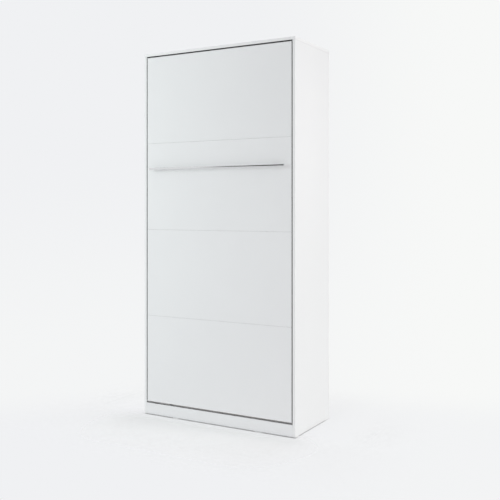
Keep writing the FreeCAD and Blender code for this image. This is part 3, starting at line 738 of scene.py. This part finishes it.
def strut(side_name, side):
    """The pieces of one strut, from its upper stud down to its lower one."""
    top = np.array(joints["strut_swing_" + side_name]["pos_m"])
    low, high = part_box("strut_rod_" + side_name)
    foot = np.array([top[0], low.y + joint_radius, low.z + joint_radius])
    line = foot - top
    length = np.linalg.norm(line)
    line = line / length
    tube_body = "strut_tube_" + side_name
    rod_body = "strut_rod_" + side_name

    # each corner: distance from the strut's line, then the way along it from the upper stud
    seal = rod_radius + 0.0003
    bore = tube_radius - tube_wall_thickness
    corners = [(0, 0.013), (pinch, 0.013), (pinch, 0.020), (tube_radius, 0.027), (tube_radius, 0.292),
               (0.0080, 0.2942), (tube_radius, 0.2964), (tube_radius, tube_length), (seal, tube_length),
               (seal, 0.286), (bore, 0.286), (bore, 0.030), (seal, 0.022), (seal, 0.015), (0, 0.015)]
    tube = lathed(corners, 0.0010, top, line, 44)
    piece("strut_pressure_tube_" + side_name, *tube, tube_body, strut_black, ["strut_tube_" + side_name])

    sleeve = pinch + 0.0001
    corners = [(0, 0.006), (0.0068, 0.006), (0.0068, 0.0185), (sleeve, 0.0185), (sleeve, 0.0128),
               (0, 0.0128)]
    neck = lathed(corners, (0.0008, 0.0010, 0.0003, 0.0003), top, line, 32)
    half = joint_width_x / 2
    eye = lathed(ring_of(stud_hole, joint_radius, -half, half), 0.0014, top, along_x, 40, 5)
    piece("strut_top_joint_" + side_name, *together([neck, eye]), tube_body, joint_black)

    rod = lathed(plug(rod_radius, rod_start, length - 0.012), 0.0004, top, line, 32)
    piece("strut_polished_rod_" + side_name, *rod, rod_body, rod_chrome, ["strut_rod_" + side_name])

    corners = [(0, length - 0.026), (0.0060, length - 0.026), (0.0066, length - 0.024),
               (0.0066, length - 0.006), (0, length - 0.006)]
    collar = lathed(corners, 0.0008, top, line, 32)
    ends = sorted((side * (abs(low.x if side > 0 else high.x)), top[0] + side * half))
    corners = [(0, ends[0]), (0.0086, ends[0]), (joint_radius, ends[0] + 0.0016),
               (joint_radius, ends[1] - 0.0022), (0.0070, ends[1]), (0, ends[1])]
    socket = lathed(corners, 0.0008, (0, foot[1], foot[2]), along_x, 40)
    piece("strut_ball_socket_" + side_name, *together([collar, socket]), rod_body, joint_black)
    return length


for side_name, side in (("left", -1), ("right", 1)):
    print(side_name, "strut", round(strut(side_name, side), 4), "m long")

# %% [markdown]
# ## Foot bow
# Two flat arms and a tube swing about bolts near the foot of the bed. With the bed closed they lie
# behind where the mattress ends; with the bed down they stand on the floor as its legs. An arm is a flat
# strip carried along a line with one round bend, and its width closes in a half circle at both ends:
# near an end the half width is the root of r squared minus the distance to the end's centre squared.

# %% Arms of the foot bow
arm_half_width = 0.012
arm_bend = 0.020
arm_edge = 0.0012
end_steps = 9
bend_steps = 12

bolt_y, bolt_z = joints["bow_fold"]["pos_m"][1:]
(_, tube_y, tube_z), (tube_half, _, tube_outer) = middle_and_half("bow_bar")
fold = math.radians(joints["bow_fold"]["range_deg"][1])
first_leg = np.array([math.sin(fold), math.cos(fold)])
second_leg = np.array([-math.cos(fold), math.sin(fold)])
to_tube = np.array([tube_y - bolt_y, tube_z - bolt_z])
reach = to_tube @ first_leg
drop = to_tube @ second_leg

# along the line: (s, t) counts the way along the first leg and along the second
sweep = np.linspace(0, np.pi / 2, bend_steps)
around_end = np.linspace(0, np.pi / 2, end_steps)
start_s = -arm_half_width * np.cos(around_end)
s = np.concatenate([start_s, reach - arm_bend + arm_bend * np.sin(sweep), np.full(end_steps, reach)])
t = np.concatenate([np.zeros(end_steps), arm_bend - arm_bend * np.cos(sweep),
                    drop + arm_half_width * np.sin(around_end)])
arm_width = np.concatenate([arm_half_width * np.sin(around_end), np.full(bend_steps, arm_half_width),
                            arm_half_width * np.cos(around_end)])
ahead_s = np.concatenate([np.ones(end_steps), np.cos(sweep), np.zeros(end_steps)])
ahead_t = np.concatenate([np.zeros(end_steps), np.sin(sweep), np.ones(end_steps)])


def in_side_view(s, t):
    """Turns amounts along the two legs into Y and Z, with no part across."""
    flat = s[:, None] * first_leg + t[:, None] * second_leg
    return np.concatenate([np.zeros((len(s), 1)), flat], axis=1)


(arm_x, _, _), (arm_half_thickness, _, _) = middle_and_half("bow_arm_right")
arm_places = in_side_view(s, t) + (arm_x, bolt_y, bolt_z)
arm_across = in_side_view(-ahead_t, ahead_s)
arm_round = np.minimum(arm_edge, arm_width)
arm_shape, _ = carried(arm_places, arm_across, along_x, arm_width, arm_half_thickness, arm_round)
piece("bow_flat_arm_right", *arm_shape, "foot_bow", bow_coat, ["bow_arm_right"])
points, faces = arm_shape
piece("bow_flat_arm_left", points * [-1, 1, 1], faces, "foot_bow", bow_coat, ["bow_arm_left"])
print("bow arms reach", round(reach, 3), "m and drop", round(drop, 3), "m")

# %% Tube and rubber feet of the foot bow
tube_wall = 0.0015
corners = ring_of(tube_outer - tube_wall, tube_outer, -tube_half, tube_half)
tube = lathed(corners, 0.0003, (0, tube_y, tube_z), along_x, 48)
piece("bow_round_tube", *tube, "foot_bow", bow_coat, ["bow_bar"])

foot_radius = middle_and_half("bow_feet")[1][2]
foot_length = 0.060
foot_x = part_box("bow_feet")[1].x - foot_length / 2
foot_rim = 0.003
groove_count = 5
groove_depth = 0.0007
steps_per_groove = 16
along = np.linspace(foot_rim - foot_length / 2, foot_length / 2 - foot_rim,
                    steps_per_groove * groove_count + 1)
wave = np.cos(2 * np.pi * groove_count * (along / foot_length + 0.5))
ribbed = foot_radius - groove_depth * np.clip(wave * 2 - 1, 0, 1)
outer_line = np.stack([ribbed, along], axis=1)
inner = tube_outer + 0.0001
start_line = eased([(inner, -foot_length / 2), (foot_radius, -foot_length / 2), outer_line[0]], 0.0018, 5)
end_line = eased([outer_line[-1], (foot_radius, foot_length / 2), (inner, foot_length / 2)], 0.0018, 5)
sleeve = np.concatenate([start_line[:-1], outer_line, end_line[1:], start_line[:1]])
feet = mirrored(turned(sleeve, (foot_x, tube_y, tube_z), along_x, 44))
piece("bow_ribbed_feet", *feet, "foot_bow", pad_rubber, ["bow_feet"])
print("bow tube", round(2000 * tube_outer), "mm thick, on feet of", round(2000 * foot_radius), "mm")

# %% [markdown]
# ## Screws and bolts
# A screw head is a shallow dome with a recess in it. On a polar grid the height is the dome minus the
# recess, and the recess is a mask that falls off smoothly: near one of two crossed bars for a screw,
# inside a hexagon for a bolt. The same function makes both, and the rim then drops to close the piece.

# %% A head with a recess
def head(radius, dome, rim, depth, recess, rings=16, sides=48):
    """Heights on a polar grid: dome * (1 - (r / radius)^2) - depth * recess(x, y), then a rim that
    drops and closes underneath. The head looks along X."""
    r = radius * np.linspace(0, 1, rings)[:, None]
    angle = np.linspace(0, 2 * np.pi, sides, endpoint=False)[None, :]
    y = r * np.cos(angle)
    z = r * np.sin(angle)
    top = dome * (1 - (r / radius) ** 2) - depth * recess(y, z)
    skirt_r = np.array([radius, 0.0])[:, None]
    y = np.concatenate([y, skirt_r * np.cos(angle)])
    z = np.concatenate([z, skirt_r * np.sin(angle)])
    x = np.concatenate([top, np.full((2, sides), -rim)])
    points = np.stack([x, y, z], axis=-1).reshape(-1, 3)
    return points, grid_faces(rings + 2, sides)


def cross(half_bar, length, soft):
    """One on two crossed bars, nothing elsewhere, with soft sides."""
    def share(y, z):
        near = np.minimum(abs(y), abs(z))
        far = np.maximum(abs(y), abs(z))
        return np.clip((half_bar - near) / soft, 0, 1) * np.clip((length - far) / soft, 0, 1)
    return share


def hexagon(half_across, soft):
    """One inside a hexagon, nothing outside: the largest of three distances decides."""
    def share(y, z):
        turns = np.pi / 3 * np.arange(3)
        away = np.max([abs(y * np.cos(turn) + z * np.sin(turn)) for turn in turns], axis=0)
        return np.clip((half_across - away) / soft, 0, 1)
    return share


# %% Screws of the plates and the frame
plate_screw_inset = 0.012
plate_thickness = 0.003
plate_head = head(0.0046, dome=0.0005, rim=0.0006, depth=0.0012, recess=cross(0.00055, 0.0026, 0.0003))
frame_head = head(0.0050, dome=0.0003, rim=0.0006, depth=0.0016, recess=cross(0.0006, 0.0030, 0.0003))


def faced(shape, side):
    """The shape turned to look along X to the left, -1, or to the right, 1."""
    points, faces = shape
    return points * [side, 1, 1], faces


def plate_corner_places(node, x):
    """The four screw places of a plate, at one place across."""
    low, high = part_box(node)
    ys = (low.y + plate_screw_inset, high.y - plate_screw_inset)
    zs = (low.z + plate_screw_inset, high.z - plate_screw_inset)
    return [(x, y, z) for y in ys for z in zs]


bearing_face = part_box("bearing_plate_right")[1].x - plate_thickness
cabinet_heads = repeated(faced(plate_head, -1), plate_corner_places("bearing_plate_right", bearing_face))

bracket_low, bracket_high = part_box("wall_brackets")
bracket_width = 0.060
bracket_shelf = 0.045
down_head = (plate_head[0][:, [1, 2, 0]] * [1, 1, -1], plate_head[1])
shelf_place = (bracket_high.x - bracket_width / 2, bracket_low.y + bracket_shelf / 2,
               bracket_high.z - plate_thickness)
shelf_heads = repeated(down_head, [shelf_place])
piece("cabinet_screw_heads", *mirrored(together([cabinet_heads, shelf_heads])), "cabinet", screw_zinc,
      ["cabinet_screws"])

bed_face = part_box("bed_plate_right")[1].x
bed_places = plate_corner_places("bed_plate_right", bed_face)
bed_heads = repeated(faced(plate_head, 1), bed_places)
side_low, side_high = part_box("bed_side_right")
frame_screw_shares = np.array((0.25, 0.75))
frame_ys = side_low.y + (side_high.y - side_low.y) * frame_screw_shares
frame_zs = [middle_and_half(node)[0][2] for node in ("head_board", "foot_board")]
frame_places = [(side_high.x, y, z) for y in frame_ys for z in frame_zs]
frame_heads = repeated(faced(frame_head, 1), frame_places)
piece("bed_screw_heads", *mirrored(together([bed_heads, frame_heads])), "bed", screw_zinc, ["bed_screws"])
print(2 * len(bed_places + frame_places), "screw heads on the bed")

# %% Bolts of the foot bow
spacer_radius = 0.008
bolt_head_radius = middle_and_half("bow_pivots")[1][2]
bolt_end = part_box("bow_pivots")[1].x
bolt_place = (0, bolt_y, bolt_z)
corners = plug(spacer_radius, side_high.x, arm_x - arm_half_thickness - 0.0003)
spacer = lathed(corners, 0.0006, bolt_place, along_x, 36)
corners = plug(bolt_head_radius, arm_x + arm_half_thickness + 0.0002, bolt_end - 0.0012)
washer = lathed(corners, 0.0005, bolt_place, along_x, 44)
bolt_head = head(0.0072, dome=0.0006, rim=0.0008, depth=0.0018, recess=hexagon(0.0028, 0.0003), rings=20)
bolt_cap = repeated(bolt_head, [(bolt_end - 0.0007, bolt_y, bolt_z)])
piece("bow_shoulder_bolts", *mirrored(together([spacer, washer, bolt_cap])), "bed", screw_zinc,
      ["bow_pivots"])
print("bolt heads", round(2000 * bolt_head_radius), "mm wide")

# %% [markdown]
# ## The main pivot
# The bed hangs on two pins in plastic bushes, hidden between its sides and the cabinet. They are plain
# lathe work with broken edges.

# %% Pins and bushes
pivot_place = (0, *joints["bed_fold"]["pos_m"][1:])
pin_radius = 0.008
pin_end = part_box("pivot_pins")[1].x
collar_radius = middle_and_half("pivot_pins")[1][2]
collar_end = bed_face + 0.003
corners = [(0, bed_face), (collar_radius, bed_face), (collar_radius, collar_end), (pin_radius, collar_end),
           (pin_radius, pin_end), (0, pin_end)]
pin = lathed(corners, (0.0006, 0.0006, 0.0001, 0.0006), pivot_place, along_x, 44)
piece("collar_pins", *mirrored(pin), "bed", screw_zinc, ["pivot_pins"])

bush_radius = middle_and_half("pivot_bushes")[1][2]
bush_start = collar_end + 0.0003
bush_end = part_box("pivot_bushes")[1].x
bush_bore = pin_radius + 0.00006
bush_middle = (bush_start + bush_end) / 2
corners = [(bush_radius, bush_middle), (bush_radius, bush_end), (bush_bore, bush_end),
           (bush_bore, bush_start), (bush_radius, bush_start), (bush_radius, bush_middle)]
bush = lathed(corners, 0.0005, pivot_place, along_x, 44)
piece("moulded_bushes", *mirrored(bush), "cabinet", fitting_white, ["pivot_bushes"])
print("pivot pins", round(2000 * pin_radius), "mm thick")

# %% [markdown]
# ## Covers over the cams
# Boards of such a cabinet are drawn together by cams let into their inner faces, and a thin plastic
# disc covers each one. They are small, but they tell the eye that the boards are joined and not cast.
# A disc is a low lathe profile with a rounded rim and a slight dish.

# %% Cam covers
cover_radius = 0.0085
cover_rise = 0.0008
cover_edge = 0.034


def cover(place, axis):
    """One cover: a disc with a rounded rim and a slight dish."""
    corners = [(0, -0.0006), (cover_radius, -0.0006), (cover_radius, cover_rise),
               (0.8 * cover_radius, cover_rise), (0.7 * cover_radius, 0.6 * cover_rise),
               (0, 0.6 * cover_rise)]
    return lathed(corners, 0.0003, place, axis, 32, 3)


cover_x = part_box("bearing_plate_right")[1].x - cover_edge
top_low, top_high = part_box("top_panel")
cover_ys = (top_low.y + 0.06, top_high.y - 0.10)
covers = [cover((cover_x, y, top_low.z), (0, 0, -1)) for y in cover_ys]
for node in ("upper_back_rail", "middle_back_rail", "lower_back_rail"):
    low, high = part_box(node)
    for z in (low.z + 0.03, high.z - 0.03):
        covers.append(cover((cover_x, low.y, z), (0, -1, 0)))
plinth_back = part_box("plinth_board")[1].y
covers.append(cover((cover_x, plinth_back, middle_and_half("plinth_board")[0][2]), (0, 1, 0)))
made = piece("cam_covers", *mirrored(together(covers)), "cabinet", fitting_white)
print(2 * len(covers), "cam covers")

# %% [markdown]
# ## Finishes for what the frame brought
# Boards and plates already have their right shape, so they only need a finish.

# %% Dress the boards, plates and plastic parts
def dress(node, finish):
    """Gives a piece of the frame its finish."""
    slots = frame["nodes"][node].data.materials
    slots.clear()
    slots.append(finish)


white_boards = ["left_side_panel", "right_side_panel", "top_panel", "plinth_board", "upper_back_rail",
                "middle_back_rail", "lower_back_rail", "bed_side_left", "bed_side_right", "head_board",
                "foot_board"]
white_boards += ["door_panel_%d" % number for number in range(1, 5)]
# above these heights the painted gap shade sets in sooner, on the top board and the plinth
deep_heights = {"top_panel": 0.0, "plinth_board": 0.06}
for node in white_boards:
    dress(node, melamine(node, deep_heights.get(node, never)))

plain = {"stop_pads": pad_rubber}
plain.update(dict.fromkeys(("wall_brackets", "bearing_plate_left", "bearing_plate_right", "bed_plate_left",
                            "bed_plate_right", "strut_anchor_left", "strut_anchor_right"), zinc_plate))
plain.update(dict.fromkeys(("door_stops", "glides"), fitting_white))
plain.update(dict.fromkeys(("cross_bearer_1", "cross_bearer_2", "cross_bearer_3"), spruce_across))
plain.update(dict.fromkeys(("slat_rail_left", "slat_rail_right"), spruce_upright))
for node, finish in plain.items():
    dress(node, finish)
undressed = [name for name, node in frame["nodes"].items()
             if not node.hide_render and name not in white_boards and name not in plain]
print("pieces of the frame left without a finish:", undressed)

# %% [markdown]
# ## The studio
# The picture has no horizon: a pale floor melts into a pale background. The world is that background
# for the camera, whiter to the right and along the foot of the wall. For light it is a soft even sky.
# For what surfaces mirror it has one dark side, where the photographer stands, because chrome without
# something dark to mirror looks like chalk, and a bright ground towards the wall, where paper lies.

# %% World for light and for what surfaces mirror
sky_light = 0.583
sky_colour = (1.0, 0.975, 0.99, 1.0)
dark_side = 0.02
bright_side = 1.0
bright_ground = 1.6
ground_fade = (-0.14, -0.08)
behind_fade = (0.0, 0.3)
dark_from, dark_to = math.radians(-50), math.radians(31)
dark_fade = math.radians(6.5)
dark_height = math.radians(84)
dark_top = 0.85 * dark_height

world = bpy.data.worlds.new("studio")
bpy.context.scene.world = world
world.use_nodes = True
tree = world.node_tree
tree.nodes.clear()
direction = add(tree, "ShaderNodeTexCoord").outputs["Generated"]
sideways, backwards, rise = split(tree, direction)
bearing = calc(tree, "ARCTAN2", calc(tree, "MULTIPLY", sideways, -1.0),
               calc(tree, "MULTIPLY", backwards, -1.0))
climb = calc(tree, "ABSOLUTE", calc(tree, "ARCSINE", rise))
in_dark = chained(tree, "MULTIPLY", ramp(tree, bearing, dark_from - dark_fade, dark_from),
                  ramp(tree, bearing, dark_to, dark_to + dark_fade, 1.0, 0.0),
                  ramp(tree, climb, dark_top, dark_height, 1.0, 0.0))
low_behind = calc(tree, "MULTIPLY", ramp(tree, rise, *ground_fade, 1.0, 0.0),
                  ramp(tree, backwards, *behind_fade))
mirrored_light = calc(tree, "MULTIPLY", between(tree, low_behind, 1.0, bright_ground),
                      ramp(tree, in_dark, 0.0, 1.0, bright_side, dark_side))
mirror = add(tree, "ShaderNodeBackground", {"Color": (1, 1, 1, 1), "Strength": mirrored_light})
sky = add(tree, "ShaderNodeBackground", {"Color": sky_colour, "Strength": sky_light})
print("the mirrored dark side spans", round(math.degrees(dark_to - dark_from)), "degrees")

# %% World for the camera
pale_left_greys, pale_right_greys = (240, 241, 243), (247, 248, 247)
wall_fade = (-0.03, 0.28)
foot_fade = (-0.19, 0.08)
foot_lift = 0.55
ground_lift = 0.4
horizon_fade = (-0.265, -0.222)
camera_right = (math.cos(camera_turn), math.sin(camera_turn), 0.0)


def screen_colour(greys):
    """The light of red, green and blue that a screen shows as these values, from 0 to 255: up to 0.04
    a twelfth of the share, above it ((share + 0.055) / 1.055) to the power 2.4."""
    shares = np.array(greys) / 255
    light = np.where(shares <= 0.04045, shares / 12.92, ((shares + 0.055) / 1.055) ** 2.4)
    return (*light.tolist(), 1.0)


rightness = add(tree, "ShaderNodeVectorMath", {0: direction, 1: camera_right}, operation="DOT_PRODUCT")
to_right = ramp(tree, rightness.outputs["Value"], *wall_fade)
on_wall = between(tree, ramp(tree, rise, *foot_fade, foot_lift, 0.0), to_right, 1.0)
on_ground = calc(tree, "MULTIPLY", to_right, ground_lift)
lift = between(tree, ramp(tree, rise, *horizon_fade), on_ground, on_wall)
behind = blended(tree, lift, screen_colour(pale_left_greys), screen_colour(pale_right_greys))
seen = add(tree, "ShaderNodeBackground", {"Color": behind, "Strength": 1.0})
path = add(tree, "ShaderNodeLightPath")
lit = either(tree, path.outputs["Is Glossy Ray"], sky.outputs[0], mirror.outputs[0])
clear = calc(tree, "MAXIMUM", path.outputs["Is Camera Ray"], path.outputs["Is Transmission Ray"])
add(tree, "ShaderNodeOutputWorld", {"Surface": either(tree, clear, lit, seen.outputs[0])})
print("background", pale_left_greys, "on the left and", pale_right_greys, "on the right")

# %% [markdown]
# The floor is a large sheet of paper. Its tones, painted shade on the paper white, follow one number, how
# far a spot lies outside the foot of the cabinet: paper white far away, a painted contact shadow close by, a
# thin painted contact line, and a painted dark strip of shade under the edges. Inside the cabinet the paper
# is painted a middle grey for the shade in there.

# %% Floor: the sheet and its tones
floor_half = 12.0
paper_white = (0.985, 0.985, 0.99, 1.0)
# painted shade on the paper: a contact shadow near the foot, a thin contact line, a dark strip under the
# edges and a grey inside the cabinet
painted_contact_shade = (0.911, 0.911, 0.916, 1.0)
painted_contact_line = (0.6, 0.6, 0.605, 1.0)
painted_under_shade = (0.36, 0.36, 0.365, 1.0)
painted_inside_shade = (0.56, 0.56, 0.565, 1.0)
contact_reach = 0.42
contact_left, contact_right = 0.9, 2.0
contact_span = (-0.6, 0.55)
line_width = 0.014
under_fade = (-0.02, -0.005)
inside_fade = (-0.034, -0.022)
back_fade = (0.04, 0.03)

foot_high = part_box("right_side_panel")[1]
_, foot_middle, _ = middle_and_half("right_side_panel")[0]
foot_half_depth = foot_high.y - foot_middle
floor_mesh = bpy.data.meshes.new("studio floor")
points = np.array([(-1, -1, 0), (1, -1, 0), (1, 1, 0), (-1, 1, 0)]) * floor_half
floor_mesh.from_pydata(points.tolist(), [], [(0, 1, 2, 3)])
floor = bpy.data.objects.new("studio_floor", floor_mesh)
bpy.context.scene.collection.objects.link(floor)

floor_finish = bpy.data.materials.new("studio floor paper")
floor_mesh.materials.append(floor_finish)
floor_finish.use_nodes = True
tree = floor_finish.node_tree
tree.nodes.clear()
across, back, _ = split(tree, add(tree, "ShaderNodeTexCoord").outputs["Object"])
beside = calc(tree, "SUBTRACT", calc(tree, "ABSOLUTE", across), foot_high.x)
off_middle = calc(tree, "ABSOLUTE", calc(tree, "SUBTRACT", back, foot_middle))
outside = calc(tree, "MAXIMUM", beside, calc(tree, "SUBTRACT", off_middle, foot_half_depth))
# painted contact shadow: the paper is greyer close to the foot, and the shade reaches further on the left,
# away from the lamp on the right
near = calc(tree, "MULTIPLY", outside, ramp(tree, across, *contact_span, contact_left, contact_right))
tone = blended(tree, ramp(tree, near, 0.0, contact_reach), painted_contact_shade, paper_white)
at_back = ramp(tree, back, foot_high.y - back_fade[0], foot_high.y - back_fade[1])
well_inside = calc(tree, "MAXIMUM", at_back, ramp(tree, outside, *inside_fade, 1.0, 0.0))
off_line = calc(tree, "MAXIMUM", ramp(tree, outside, 0.0, line_width), well_inside)
# painted shade: a thin dark contact line at the foot, a darker strip under the edges and a middle grey
# inside the cabinet
tone = blended(tree, off_line, painted_contact_line, tone)
tone = blended(tree, calc(tree, "MAXIMUM", ramp(tree, outside, *under_fade), well_inside), painted_under_shade, tone)
within = calc(tree, "MULTIPLY", well_inside, ramp(tree, outside, *under_fade, 1.0, 0.0))
tone = blended(tree, within, tone, painted_inside_shade)
print("floor", 2 * floor_half, "m wide, foot", round(2 * foot_half_depth, 3), "m deep")

# %% [markdown]
# The camera sees the paper only where it is needed: around the cabinet, most of all in front of it, and
# under whatever hangs low over it, as the lowered bed does. Elsewhere the sheet is clear and the
# background shows, so no line marks where the floor ends. Rays that mirror something pass through it.
# Rays that carry light find a weak glow near the foot, for the light that paper and plinth throw at
# each other.

# %% Floor: where it shows
share_near, share_far = 0.2, 0.75
front_share, side_share = 1.0, 0.12
front_fade = 0.12
beside_fade = (-0.1, 0.2)
beside_share = 0.25
edge_fade = (-0.002, 0.0)
cover_reach = 0.7
cover_shades = (0.72, 0.97)
cover_fade = 0.3
paper_glow = 0.042
thrown_up = 0.12
thrown_fade = (-0.005, 0.0)
thrown_reach = 0.6

front = foot_middle - foot_half_depth
held = chained(tree, "MULTIPLY",
               ramp(tree, back, front - front_fade, front + front_fade, front_share, side_share),
               ramp(tree, outside, share_near, share_far, 1.0, 0.0),
               ramp(tree, beside, *beside_fade, 1.0, beside_share))
covered = add(tree, "ShaderNodeAmbientOcclusion", {"Distance": cover_reach}, samples=32)
under_bed = calc(tree, "MULTIPLY", ramp(tree, covered.outputs["AO"], *cover_shades, 1.0, 0.0),
                 ramp(tree, outside, share_near, share_near + cover_fade))
held = chained(tree, "MAXIMUM", held, ramp(tree, outside, *edge_fade, 1.0, 0.0), under_bed)
near_foot = calc(tree, "MULTIPLY", ramp(tree, outside, *thrown_fade),
                 ramp(tree, outside, 0.0, thrown_reach, thrown_up, 0.0))
paper = add(tree, "ShaderNodeBsdfDiffuse", {"Color": tone}).outputs[0]
glow = add(tree, "ShaderNodeEmission", {"Color": tone, "Strength": paper_glow}).outputs[0]
upward = add(tree, "ShaderNodeEmission", {"Color": tone, "Strength": near_foot}).outputs[0]
gone = add(tree, "ShaderNodeBsdfTransparent").outputs[0]
lit_paper, lighting_paper = (add(tree, "ShaderNodeAddShader", {0: paper, 1: shine}).outputs[0]
                             for shine in (glow, upward))
path = add(tree, "ShaderNodeLightPath")
shown = either(tree, path.outputs["Is Camera Ray"], lighting_paper, either(tree, held, gone, lit_paper))
shown = either(tree, path.outputs["Is Glossy Ray"], shown, gone)
add(tree, "ShaderNodeOutputMaterial", {"Surface": shown})
print("the floor shows within", share_far, "m of the cabinet and under what hangs within", cover_reach, "m")

# %% [markdown]
# Four soft lamps shape the box. A large one far to the right makes the side the brightest face, and one
# at the front left lights the door. A weak low one lifts the plinth, and a narrow upright one lifts the
# upper half of the side. No lamp shows in a mirrored surface, where the world's dark and bright sides
# do the drawing.

# %% Lamps
def soft_lamp(name, place, target, size, power, colour, height=None):
    """An area lamp that looks at a target, square unless its height is given too."""
    data = bpy.data.lights.new(name, "AREA")
    data.shape = "RECTANGLE"
    data.size = size
    data.size_y = height or size
    data.energy = power
    data.color = colour
    lamp = bpy.data.objects.new(name, data)
    lamp.location = place
    lamp.rotation_euler = (Vector(target) - Vector(place)).to_track_quat("-Z", "Y").to_euler()
    lamp.visible_glossy = False
    lamp.visible_camera = False
    bpy.context.scene.collection.objects.link(lamp)
    print(name, power, "W,", round(math.dist(place, target), 2), "m away")


soft_lamp("right key", (4.4, 0.0, 1.7), (0, 0, 1.0), 2.4, 44, (0.94, 1.0, 0.93))
soft_lamp("left fill", (-2.4, -2.6, 2.1), (-0.2, 0, 1.0), 2.0, 43.3, (0.88, 1.0, 0.975))
soft_lamp("low bounce", (1.5, -1.9, 0.5), (0.45, -0.2, 0.1), 0.8, 1.5, (1.0, 0.85, 0.92))
soft_lamp("side strip", (1.5, -0.2, 1.75), (0, -0.2, 1.75), 0.3, 1.55, (1.0, 0.9, 0.96), 1.2)
